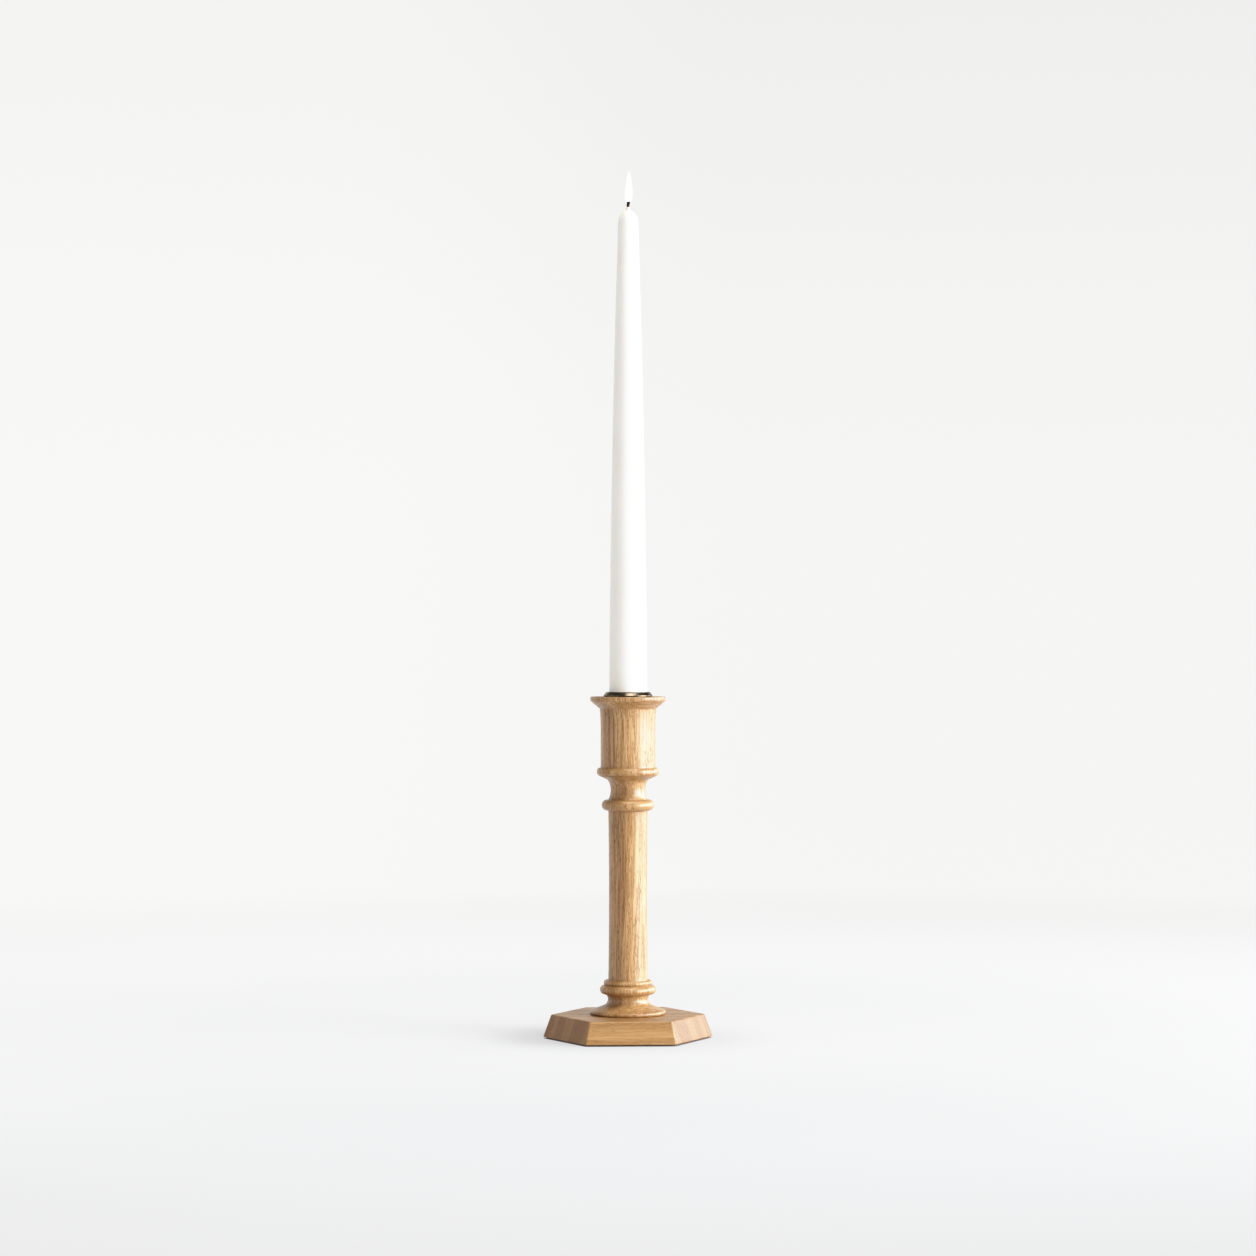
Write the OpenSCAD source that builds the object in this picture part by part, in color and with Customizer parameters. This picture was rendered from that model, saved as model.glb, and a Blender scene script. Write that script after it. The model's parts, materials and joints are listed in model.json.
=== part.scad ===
// Turned oak candlestick on a hexagonal plinth, with a brass candle cup and a taper candle.
// Millimetres, +Z up. The origin is at the middle of the underside, on the table.

/* [Plinth] */
// Plinth width across the corners at the bottom
plinth_w = 100; // [98:1:120]
// Plinth width across the corners at the top
plinth_top_w = 90.6; // [84:0.1:96]
// Plinth depth from the front edge to the back edge at the bottom
plinth_depth = 86.6; // [80:0.1:104]
// Length of the plinth's front and back edges at the bottom
plinth_side = 52.2; // [48:0.1:60]
// Plinth thickness
plinth_h = 13.2; // [12:0.1:25]
// Width of the eased edges of the plinth
plinth_ease = 0.6; // [0.3:0.1:1.5]

/* [Column] */
// Height of the column above the plinth
column_h = 186.2; // [150:0.1:260]
// Shaft diameter at both ends
shaft_d = 23.2; // [22.6:0.1:26]
// Shaft diameter at its waist
waist_d = 22.4; // [20:0.1:22.6]
// Diameter of the disc foot
foot_d = 44.4; // [44:0.1:60]
// Diameter of the bead above the foot
foot_bead_d = 33; // [32:0.1:38]
// Diameter of the small ring above that bead
ring_d = 28.6; // [28:0.1:31]
// Diameter of the bead at the top of the shaft
neck_bead_d = 31; // [30:0.1:34]
// Diameter of the bead under the candle socket
socket_bead_d = 36.7; // [36:0.1:42]
// Diameter of the candle socket
socket_d = 32.2; // [31:0.1:34]
// Diameter of the flange round the socket's mouth
flange_d = 44.4; // [44:0.1:50]
// Diameter of the tenon under the foot
tenon_d = 16; // [12:0.5:18]
// Length of the tenon
tenon_len = 8; // [5:0.5:8]

/* [Candle cup] */
// Bore of the cup, for a candle of 22 mm
cup_bore_d = 22.8; // [22.6:0.1:23]
// Depth of the cup below the top of its lip
cup_depth = 20.5; // [15:0.5:22]
// Sheet thickness of the cup
cup_wall = 0.7; // [0.5:0.1:0.9]
// Diameter of the rolled lip
lip_d = 29; // [27:0.1:30]
// Height of the rolled lip above the flange
lip_h = 2.8; // [2:0.1:4]

/* [Fasteners and pads] */
// Head diameter of the screw under the plinth
base_screw_head_d = 8; // [7:0.1:8.4]
// Length of the screw under the plinth
base_screw_len = 32; // [26:1:40]
// Head diameter of the screw in the cup
cup_screw_head_d = 5.6; // [5:0.1:6]
// Length of the screw in the cup
cup_screw_len = 12; // [8:1:16]
// Diameter of the felt pads
pad_d = 8; // [6:0.5:10]
// Thickness of the felt pads
pad_h = 0.8; // [0.5:0.1:1]
// Distance of the felt pads from the axis
pad_reach = 38; // [30:1:40]

/* [Candle] */
// Diameter of the candle's butt, the common 7/8 inch
candle_d = 22.2; // [21.5:0.1:22.3]
// Diameter of the candle below its rounded tip
candle_tip_d = 11.8; // [10:0.1:14]
// Length of the wax, for a 12 inch taper that has just been lit
candle_len = 304.6; // [200:0.1:306]
// Height of the rounded shoulder, if it closed in a dome
candle_tip_h = 7.6; // [6:0.1:12]
// Diameter of the wick
wick_d = 1.8; // [1.2:0.1:2.4]
// Length of wick above the wax
wick_out = 3.8; // [3:0.1:8]

/* [Hidden] */
PAD_COUNT = 6;
PADS = [for (i = [1:PAD_COUNT]) str("felt_pad_", i)];
CANDLE = ["candle_wax", "candle_wick"];
$fn = 96;

// Heights that the pieces share
plinth_top_z = pad_h + plinth_h;
flange_z = plinth_top_z + column_h;
cup_floor_z = flange_z + lip_h - cup_depth;

// Column: turned features above the foot, as heights over the plinth
toe_r = 1.35;
foot_cove_r = 4.1;
foot_cove_d = 23.7;
foot_cove_h = 9;
foot_bead_r = 2.6;
foot_bead_h = 14.5;
ring_r = 1.5;
ring_h = 18.6;

// Column: turned features near the top, as depths under the flange
flange_round = 2;
flange_lip = 1.6;
flare_slope = 40;
flare_r = 1.2;
flare_depth = 7.6;
swell_r = 130;
swell_angle = 5;
socket_bead_half = 2.3;
socket_bead_bulge = 1.6;
socket_bead_depth = 44;
undercut_d = 34.2;
undercut_depth = 46.4;
neck_cove_d = 20.5;
neck_cove_r = [3.1, 6.5];
neck_cove_depth = 54.8;
neck_cove_half = 72;
neck_cove_foot = 59;
neck_bead_r = 3.2;
neck_bead_depth = 63.6;

// Clearances and recesses round the metal pieces
fit_gap = 0.05;
wood_edge = 0.3;
mortise_gap = 0.2;
cup_bore_r = cup_bore_d / 2;
cup_out_r = cup_bore_r + cup_wall;
cup_corner = 0.6;
roll_r = 1;
hem_r = 0.55;
dimple_drop = 1.4;

// Wood screws: thread size and pitch, as fractions of the head
core_share = 0.36;
crest_share = 0.51;
pitch_share = 0.34;
base_screw_z = pad_h + 0.3;
cup_screw_z = cup_floor_z - fit_gap;

// Candle: heights along the wax
butt_ease = 0.8;
peak_r = 2.6;
peak_h = 2.3;
peak_ease = 0.2;
peak_angle = acos(2 * peak_r / candle_tip_d);
wax_top_z = cup_floor_z + candle_len;
taper_z0 = flange_z + lip_h + 2;
taper_z1 = wax_top_z - peak_h - candle_tip_h * sin(peak_angle);

// Points of an arc round c with half axes q, from angle a0 to a1
function arc(c, q, a0, a1, n = 10) =
    [for (i = [0:n]) let (a = a0 + (a1 - a0) * i / n) c + [q[0] * cos(a), q[1] * sin(a)]];

// Angle of the line that rests on the toe's round and under the cove's round
function slope_angle(toe, cove) =
    let (d = cove - toe)
    acos((foot_cove_r + toe_r) / norm(d)) - atan2(-d[0], d[1]);

// Foot: toe, slope, cove, bead and ring, from the plinth up to the shaft
function foot_outline(z) =
    let (
        toe = [foot_d / 2 - toe_r, z + toe_r],
        cove = [foot_cove_d / 2 + foot_cove_r, z + foot_cove_h],
        bead = [foot_bead_d / 2 - foot_bead_r, z + foot_bead_h],
        ring = [ring_d / 2 - ring_r, z + ring_h],
        slope = slope_angle(toe, cove)
    )
    concat(
        arc(toe, [toe_r, toe_r], -90, 90 - slope, 8),
        arc(cove, [foot_cove_r, foot_cove_r], 270 - slope, 150),
        arc(bead, [foot_bead_r, foot_bead_r], -100, 75),
        arc(ring, [ring_r, ring_r], -55, 90, 8)
    );

// Shaft: a slight waist between the ring and the bead above it
function shaft_outline(z0, z1, n = 12) =
    [for (i = [0:n])
        let (t = 2 * i / n - 1)
        [(waist_d + (shaft_d - waist_d) * t * t) / 2, z0 + (z1 - z0) * i / n]];

// Neck: bead, long cove, socket bead, socket and flange, measured down from the flange's top
function neck_outline(z) =
    let (
        bead = [neck_bead_d / 2 - neck_bead_r, z - neck_bead_depth],
        cove = [neck_cove_d / 2 + neck_cove_r[0], z - neck_cove_depth],
        top_bead = [socket_bead_d / 2 - socket_bead_bulge, z - socket_bead_depth],
        swell_x = socket_d / 2 + swell_r * (1 - cos(swell_angle)),
        swell = [socket_d / 2 + swell_r, z - flare_depth - swell_r * sin(swell_angle)],
        flare = [swell_x + flare_r * cos(swell_angle), z - flare_depth - flare_r * sin(swell_angle)],
        edge = [flange_d / 2 - flange_round, z - flange_lip]
    )
    concat(
        arc(bead, [neck_bead_r, neck_bead_r], -90, 90, 12),
        arc(cove, neck_cove_r, 180 + neck_cove_foot, 180 - neck_cove_half, 16),
        [[undercut_d / 2, z - undercut_depth]],
        arc(top_bead, [socket_bead_bulge, socket_bead_half], -85, 90),
        [[socket_d / 2, z - socket_bead_depth + socket_bead_half]],
        arc(swell, [swell_r, swell_r], 180, 180 - swell_angle, 5),
        arc(flare, [flare_r, flare_r], 180 - 2 * swell_angle, 90 + flare_slope, 4),
        arc(edge, [flange_round, flange_round], flare_slope - 90, 0, 6),
        [[flange_d / 2, z - wood_edge], [flange_d / 2 - wood_edge, z]]
    );

// Solid of revolution from an outline that is closed along the axis
module lathe(outline) {
    first = outline[0];
    last = outline[len(outline) - 1];
    rotate_extrude()
        polygon(concat([[0, first[1]]], outline, [[0, last[1]]]));
}

// Outline of a countersunk wood screw whose head's face is at height 0 and whose shank runs up
function screw_outline(head_d, length) =
    let (
        core = head_d * core_share / 2,
        crest = head_d * crest_share / 2,
        pitch = head_d * pitch_share,
        neck = head_d / 2 - crest,
        start = neck + pitch,
        turns = floor((length - start - 1.5 * pitch) / pitch)
    )
    concat(
        [[head_d / 2, 0], [crest, neck], [crest, start - pitch / 4], [core, start]],
        [for (i = [0:turns - 1]) each [
            [core, start + (i + 0.3) * pitch],
            [crest, start + (i + 0.6) * pitch],
            [core, start + (i + 0.9) * pitch]
        ]],
        [[core, length - pitch], [core / 6, length]]
    );

// Countersunk wood screw with a cross recess, head down, its face at height 0
module wood_screw(head_d, length) {
    slot_len = head_d * 0.56;
    slot_w = head_d * 0.13;
    slot_depth = head_d * 0.2;
    difference() {
        lathe(screw_outline(head_d, length));
        for (turn = [0, 90])
            rotate([0, 0, turn])
                translate([-slot_len / 2, -slot_w / 2, -1])
                    cube([slot_len, slot_w, slot_depth + 1]);
    }
}

// Point at a distance d from a towards b
function toward(a, b, d) = a + (b - a) * d / norm(b - a);

// Plinth's outline at the bottom, with its six corners cut back
function plinth_outline() =
    let (
        w = plinth_w / 2,
        s = plinth_side / 2,
        d = plinth_depth / 2,
        p = [[w, 0], [s, d], [-s, d], [-w, 0], [-s, -d], [s, -d]]
    )
    [for (i = [0:5], next = [5, 1]) toward(p[i], p[(i + next) % 6], plinth_ease)];

// Six-sided slab from z up; its half width is w0 at the bottom and w1 at the top
module plinth_slab(z, w0, w1, h) {
    translate([0, 0, z])
        linear_extrude(height = h, scale = w1 / w0)
            polygon(plinth_outline() * w0 * 2 / plinth_w);
}

// Plinth blank: sloping sides, with the arrises eased at the top, the bottom and the corners
module plinth_blank(bottom_w, top_w) {
    ease = plinth_ease;
    lean = (bottom_w - top_w) / plinth_h;
    hull() {
        plinth_slab(pad_h, bottom_w - ease, bottom_w - ease * lean, ease);
        plinth_slab(plinth_top_z - ease, top_w + ease * lean, top_w - ease, ease);
    }
}

// Hexagonal plinth with sloping sides, a mortise on top and a countersunk hole below
module base() {
    head_r = base_screw_head_d / 2;
    hole_r = head_r * crest_share + 0.2;
    rim_r = head_r + base_screw_z - pad_h + fit_gap;
    color("BurlyWood")
        difference() {
            plinth_blank(plinth_w / 2, plinth_top_w / 2);
            translate([0, 0, plinth_top_z - tenon_len - mortise_gap])
                cylinder(d = tenon_d + 2 * fit_gap, h = tenon_len + 1);
            cylinder(r = hole_r, h = plinth_h);
            translate([0, 0, pad_h])
                cylinder(r1 = rim_r, r2 = hole_r, h = rim_r - hole_r);
        }
}

// Turned oak column with its tenon, candle socket and pilot holes
module column() {
    shaft_z0 = plinth_top_z + ring_h + ring_r;
    shaft_z1 = flange_z - neck_bead_depth - neck_bead_r;
    bore_z = cup_floor_z - cup_wall - mortise_gap;
    pocket_h = dimple_drop + 1;
    base_pilot_r = base_screw_head_d * core_share / 2;
    cup_pilot_r = cup_screw_head_d * core_share / 2;
    base_pilot_top = base_screw_z + base_screw_len + 1;
    cup_pilot_z = cup_screw_z - cup_screw_len - 1;
    color("Peru")
        difference() {
            union() {
                lathe(concat(
                    foot_outline(plinth_top_z),
                    shaft_outline(shaft_z0, shaft_z1),
                    neck_outline(flange_z)
                ));
                translate([0, 0, plinth_top_z - tenon_len])
                    cylinder(d = tenon_d, h = tenon_len + 1);
            }
            translate([0, 0, bore_z])
                cylinder(r = cup_out_r + fit_gap, h = cup_depth + 5);
            translate([0, 0, bore_z - pocket_h])
                cylinder(d = cup_screw_head_d + 2.4, h = pocket_h + 1);
            translate([0, 0, cup_pilot_z])
                cylinder(r = cup_pilot_r, h = bore_z - cup_pilot_z);
            translate([0, 0, plinth_top_z - tenon_len - 1])
                cylinder(r = base_pilot_r, h = base_pilot_top - plinth_top_z + tenon_len + 1);
        }
}

// Spun brass cup: rolled lip, straight wall, flat floor with a dimple for the screw
module candle_cup() {
    lip_r = lip_d / 2;
    lip_top_z = flange_z + lip_h;
    crown = [cup_bore_r + roll_r, lip_top_z - roll_r];
    hem = [lip_r - hem_r, flange_z + hem_r];
    lip_run = hem - crown;
    lip_angle = acos((roll_r - hem_r) / norm(lip_run)) + atan2(lip_run[1], lip_run[0]);
    head_r = cup_screw_head_d / 2 + 0.1;
    hole_r = head_r - dimple_drop;
    under_r = head_r + cup_wall * (sqrt(2) - 1);
    floor_z = cup_floor_z;
    back_z = floor_z - cup_wall;
    color([0.36, 0.29, 0.2])
        rotate_extrude()
            polygon(concat(
                [[hole_r, floor_z - dimple_drop], [head_r, floor_z]],
                arc([cup_bore_r - cup_corner, floor_z + cup_corner], [cup_corner, cup_corner], -90, 0, 4),
                arc(crown, [roll_r, roll_r], 180, lip_angle, 12),
                arc(hem, [hem_r, hem_r], lip_angle, -90, 8),
                [[cup_out_r, flange_z]],
                arc([cup_out_r - cup_corner - cup_wall, back_z + cup_corner + cup_wall],
                    [cup_corner + cup_wall, cup_corner + cup_wall], 0, -90, 4),
                [[under_r, back_z], [hole_r, back_z - under_r + hole_r]]
            ));
}

// Brass screw that holds the cup down, head up
module cup_screw() {
    color("Goldenrod")
        translate([0, 0, cup_screw_z])
            rotate([180, 0, 0])
                wood_screw(cup_screw_head_d, cup_screw_len);
}

// Steel screw up through the plinth into the column
module base_screw() {
    color("Silver")
        translate([0, 0, base_screw_z])
            wood_screw(base_screw_head_d, base_screw_len);
}

// Felt disc under one corner of the plinth
module felt_pad(number) {
    color("DimGray")
        rotate([0, 0, 360 * (number - 1) / PAD_COUNT])
            translate([pad_reach, 0, 0])
                cylinder(d = pad_d, h = pad_h, $fn = 48);
}

// Radius of the wax at a share t of the way up the taper
function taper_r(t) = (candle_d + (candle_tip_d - candle_d) * (t + 2 * t * t) / 3) / 2;

// Taper candle: straight butt, slightly bellied taper, round shoulder, and a small peak round the wick
module candle_wax() {
    butt_r = candle_d / 2;
    steps = 14;
    taper = [for (i = [0:steps]) [taper_r(i / steps), taper_z0 + (taper_z1 - taper_z0) * i / steps]];
    color("Ivory")
        difference() {
            lathe(concat(
                [[butt_r - butt_ease, cup_floor_z], [butt_r, cup_floor_z + butt_ease]],
                taper,
                arc([0, taper_z1], [candle_tip_d / 2, candle_tip_h], 0, peak_angle),
                arc([peak_r, wax_top_z], [peak_r - wick_d / 2 - peak_ease, peak_h], 250, 180, 5)
            ));
            translate([0, 0, cup_floor_z - 1])
                cylinder(d = wick_d, h = candle_len + 2);
        }
}

// Braided wick through the candle's whole length
module candle_wick() {
    color("Gray")
        translate([0, 0, cup_floor_z])
            cylinder(d = wick_d, h = candle_len + wick_out, $fn = 32);
}

base();
column();
candle_cup();
cup_screw();
base_screw();
for (i = [1:PAD_COUNT])
    felt_pad(i);
candle_wax();
candle_wick();
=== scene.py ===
"""Turned oak candlestick with a lit taper candle: finished meshes, materials, studio and camera."""

import json
import math

import bmesh
import bpy
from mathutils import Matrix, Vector, noise
from mathutils.geometry import intersect_line_line

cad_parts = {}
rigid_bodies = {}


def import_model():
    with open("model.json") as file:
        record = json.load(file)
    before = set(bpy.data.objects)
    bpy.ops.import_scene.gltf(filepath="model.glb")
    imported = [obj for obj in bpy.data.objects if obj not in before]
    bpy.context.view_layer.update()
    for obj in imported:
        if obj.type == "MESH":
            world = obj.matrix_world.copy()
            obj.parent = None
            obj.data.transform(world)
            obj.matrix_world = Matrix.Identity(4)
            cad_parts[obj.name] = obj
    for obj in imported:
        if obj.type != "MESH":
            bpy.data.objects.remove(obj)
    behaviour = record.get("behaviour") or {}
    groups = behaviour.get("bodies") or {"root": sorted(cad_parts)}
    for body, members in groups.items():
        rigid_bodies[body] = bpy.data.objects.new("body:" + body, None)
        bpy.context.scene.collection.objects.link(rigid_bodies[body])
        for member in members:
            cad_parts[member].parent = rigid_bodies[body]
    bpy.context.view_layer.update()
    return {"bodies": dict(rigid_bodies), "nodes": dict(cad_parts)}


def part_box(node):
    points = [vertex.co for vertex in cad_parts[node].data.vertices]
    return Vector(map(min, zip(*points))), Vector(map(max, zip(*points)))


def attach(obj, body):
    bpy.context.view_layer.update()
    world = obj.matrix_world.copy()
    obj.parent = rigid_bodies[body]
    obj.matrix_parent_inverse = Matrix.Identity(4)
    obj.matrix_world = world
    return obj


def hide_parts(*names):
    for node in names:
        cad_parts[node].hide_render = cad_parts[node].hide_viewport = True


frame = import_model()

MM = 0.001
# Points closer than this are one point
WELD = 1e-7
# An outline that turns by more than this has a corner, and a curve turns by less in one stretch
CORNER = math.radians(30)
FACET = math.radians(4)
# The most of a stretch that an eased corner takes; a stretch this many times its neighbour is a straight run
CUT_SHARE = 0.35
LONG_RUN = 3
# An inward turn of this much is a full crease, and this is how far a crease is felt
FULL_CREASE = math.radians(70)
CREASE_REACH = 1.3 * MM
# How far the corners of each piece are eased
PLINTH_EASE = 0.75 * MM
COLUMN_EASE = 0.22 * MM
CUP_EASE = 0.1 * MM
WAX_EASE = 0.3 * MM

# ---------------------------------------------------------------- outlines, read from the frame


def span(node):
    """The node's lowest and highest corners at rest."""
    low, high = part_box(node)
    return Vector(low), Vector(high)


def section(node):
    """The node's outline in the half plane y = 0, x > 0, in order, and whether it closes on itself."""
    bm = bmesh.new()
    bm.from_mesh(frame["nodes"][node].data)
    bmesh.ops.remove_doubles(bm, verts=bm.verts, dist=WELD)
    for normal, drop in (((1, 0, 0), True), ((0, 1, 0), False)):
        everything = bm.verts[:] + bm.edges[:] + bm.faces[:]
        cut = bmesh.ops.bisect_plane(
            bm, geom=everything, dist=WELD, plane_co=(0, 0, 0), plane_no=normal, clear_inner=drop)
    links = {}
    for edge in cut["geom_cut"]:
        if isinstance(edge, bmesh.types.BMEdge):
            a, b = ((round(v.co.x, 7), round(v.co.z, 7)) for v in edge.verts)
            if a != b:
                links.setdefault(a, set()).add(b)
                links.setdefault(b, set()).add(a)
    bm.free()
    ends = sorted((p for p in links if len(links[p]) == 1), key=lambda p: p[1])
    here = ends[0] if ends else min(links)
    chain, seen = [here], {here}
    while True:
        ahead = sorted(p for p in links[here] if p not in seen)
        if not ahead:
            break
        here = ahead[0]
        seen.add(here)
        chain.append(here)
    chain = drop_straight(chain, not ends)
    if area(chain) < 0:
        chain.reverse()
    return chain, not ends


def area(points):
    """Signed area inside a closed outline; positive when the solid lies on its left."""
    total = 0.0
    for i, (x, y) in enumerate(points):
        x2, y2 = points[(i + 1) % len(points)]
        total += x * y2 - x2 * y
    return total / 2


def drop_straight(points, closed):
    """The outline without the points that lie on a straight line between their neighbours."""
    kept = []
    for i, p in enumerate(points):
        if not closed and i in (0, len(points) - 1):
            kept.append(p)
            continue
        a, b = Vector(points[i - 1]), Vector(points[(i + 1) % len(points)])
        side = (b - a).normalized()
        if abs((Vector(p) - a).cross(side)) > WELD * 5:
            kept.append(p)
    return kept


def turn_between(a, b):
    """Signed angle from direction a to direction b; positive turns to the left."""
    return math.atan2(a.cross(b), a.dot(b))


def refine(points, closed, ease, step):
    """The outline with its corners eased and its runs curved, with no stretch longer than step."""
    count = len(points)
    p = [Vector(q) for q in points]
    pairs = [(i, (i + 1) % count) for i in range(count if closed else count - 1)]
    way = [(p[b] - p[a]).normalized() for a, b in pairs]
    length = [(p[b] - p[a]).length for a, b in pairs]

    def tangent(i, this):
        """Direction of the curve at point i, and how far a corner there is cut back."""
        before, after = i - 1, i
        if not closed and (i == 0 or i == count - 1):
            return way[this], 0.0
        if abs(turn_between(way[before], way[after])) > CORNER:
            return way[this], min(ease, CUT_SHARE * length[before], CUT_SHARE * length[after])
        short, long = sorted((before, after), key=lambda k: length[k])
        if length[long] > LONG_RUN * length[short]:
            return way[long], 0.0
        mixed = way[before] * length[after] + way[after] * length[before]
        return mixed.normalized(), 0.0

    out = []
    for k, (i, j) in enumerate(pairs):
        t0, cut0 = tangent(i, k)
        t1, cut1 = tangent(j, k)
        a, b = p[i] + way[k] * cut0, p[j] - way[k] * cut1
        reach = (b - a).length
        bend = abs(turn_between(t0, way[k])) + abs(turn_between(way[k], t1))
        parts = max(1, math.ceil(bend / FACET), math.ceil(reach / step))
        for n in range(parts + (1 if cut1 or (not closed and k == len(pairs) - 1) else 0)):
            s = n / parts
            out.append(
                a * (2 * s**3 - 3 * s**2 + 1) + t0 * reach * (s**3 - 2 * s**2 + s)
                + b * (3 * s**2 - 2 * s**3) + t1 * reach * (s**3 - s**2))
        if cut1:
            follow = p[j] + way[(k + 1) % len(pairs)] * cut1
            for s in (0.25, 0.5, 0.75):
                out.append(b * (1 - s)**2 + p[j] * 2 * s * (1 - s) + follow * s**2)
    return out


def creases(outline, closed):
    """How deep in a crease each point of an outline lies, from 0 to 1."""
    count = len(outline)
    turns = []
    for i in range(count):
        if not closed and i in (0, count - 1):
            turns.append(0.0)
            continue
        a, b, c = outline[i - 1], outline[i], outline[(i + 1) % count]
        turns.append(max(0.0, -turn_between(b - a, c - b)) if (b - a).length and (c - b).length else 0.0)
    values = []
    for q in outline:
        near = (max(0.0, 1 - (r - q).length / CREASE_REACH) * t for r, t in zip(outline, turns))
        values.append(min(1.0, sum(near) / FULL_CREASE))
    return values


# ---------------------------------------------------------------- mesh tools


def new_object(name, verts, faces, smooth=True):
    """A mesh object in the scene, with its normals facing out."""
    mesh = bpy.data.meshes.new(name)
    mesh.from_pydata([tuple(v) for v in verts], [], faces)
    mesh.polygons.foreach_set("use_smooth", [smooth] * len(mesh.polygons))
    obj = bpy.data.objects.new(name, mesh)
    bpy.context.scene.collection.objects.link(obj)
    bm = bmesh.new()
    bm.from_mesh(mesh)
    bmesh.ops.recalc_face_normals(bm, faces=bm.faces)
    bm.to_mesh(mesh)
    bm.free()
    return obj


def skin(rings, closed=False):
    """Faces between neighbouring rings of vertex numbers; a ring of one number is a pole."""
    faces = []
    pairs = list(zip(rings, rings[1:])) + ([(rings[-1], rings[0])] if closed else [])
    for a, b in pairs:
        n = max(len(a), len(b))
        for i in range(n):
            j = (i + 1) % n
            corners = [a[i % len(a)], a[j % len(a)], b[j % len(b)], b[i % len(b)]]
            face = list(dict.fromkeys(corners))
            if len(face) > 2:
                faces.append(face)
    return faces


def revolve(name, outline, closed=False, around=128, shape=None):
    """Turns an outline about the Z axis. shape(radius, height, angle) may return a changed radius."""
    verts, rings = [], []
    for r, z in outline:
        if r < WELD:
            rings.append([len(verts)])
            verts.append((0, 0, z))
            continue
        ring = []
        for i in range(around):
            angle = 2 * math.pi * i / around
            here = shape(r, z, angle) if shape else r
            ring.append(len(verts))
            verts.append((here * math.cos(angle), here * math.sin(angle), z))
        rings.append(ring)
    return new_object(name, verts, skin(rings, closed)), rings


def mark_creases(obj, rings, values):
    """Stores one value a ring as the point attribute that the oak and the bronze read."""
    layer = obj.data.attributes.new("crease", "FLOAT", "POINT")
    flat = [0.0] * len(obj.data.vertices)
    for ring, value in zip(rings, values):
        for v in ring:
            flat[v] = value
    layer.data.foreach_set("value", flat)


def turned(name, node, ease, step, around=160, shape=None):
    """A lathe-turned copy of a CAD node, with eased corners and its creases marked."""
    points, closed = section(node)
    outline = refine(points, closed, ease, step)
    obj, rings = revolve(name, outline, closed, around, shape)
    mark_creases(obj, rings, creases(outline, closed))
    return obj


def bake(obj):
    """Bakes an object's modifiers into its mesh."""
    graph = bpy.context.evaluated_depsgraph_get()
    mesh = bpy.data.meshes.new_from_object(obj.evaluated_get(graph))
    old = obj.data
    obj.modifiers.clear()
    obj.data = mesh
    bpy.data.meshes.remove(old)


def carve(obj, *cutters):
    """Cuts closed objects out of obj and deletes them."""
    for cutter in cutters:
        cut = obj.modifiers.new("cut", "BOOLEAN")
        cut.operation = "DIFFERENCE"
        cut.solver = "EXACT"
        cut.object = cutter
    bake(obj)
    for cutter in cutters:
        bpy.data.objects.remove(cutter)


def settle_normals(obj):
    """Lets the flat faces keep flat normals while the eased edges between them stay round."""
    obj.data.polygons.foreach_set("use_smooth", [True] * len(obj.data.polygons))
    weigh = obj.modifiers.new("flat faces", "WEIGHTED_NORMAL")
    weigh.mode = "FACE_AREA"
    weigh.weight = 90
    bake(obj)


def finish_piece(obj, body, material, slot, *nodes):
    """Gives a piece its material and body, and hides the CAD nodes that it stands for. The slot is not used.
    """
    obj.data.materials.clear()
    obj.data.materials.append(material)
    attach(obj, body)
    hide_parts(*nodes)


# ---------------------------------------------------------------- material tools


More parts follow.
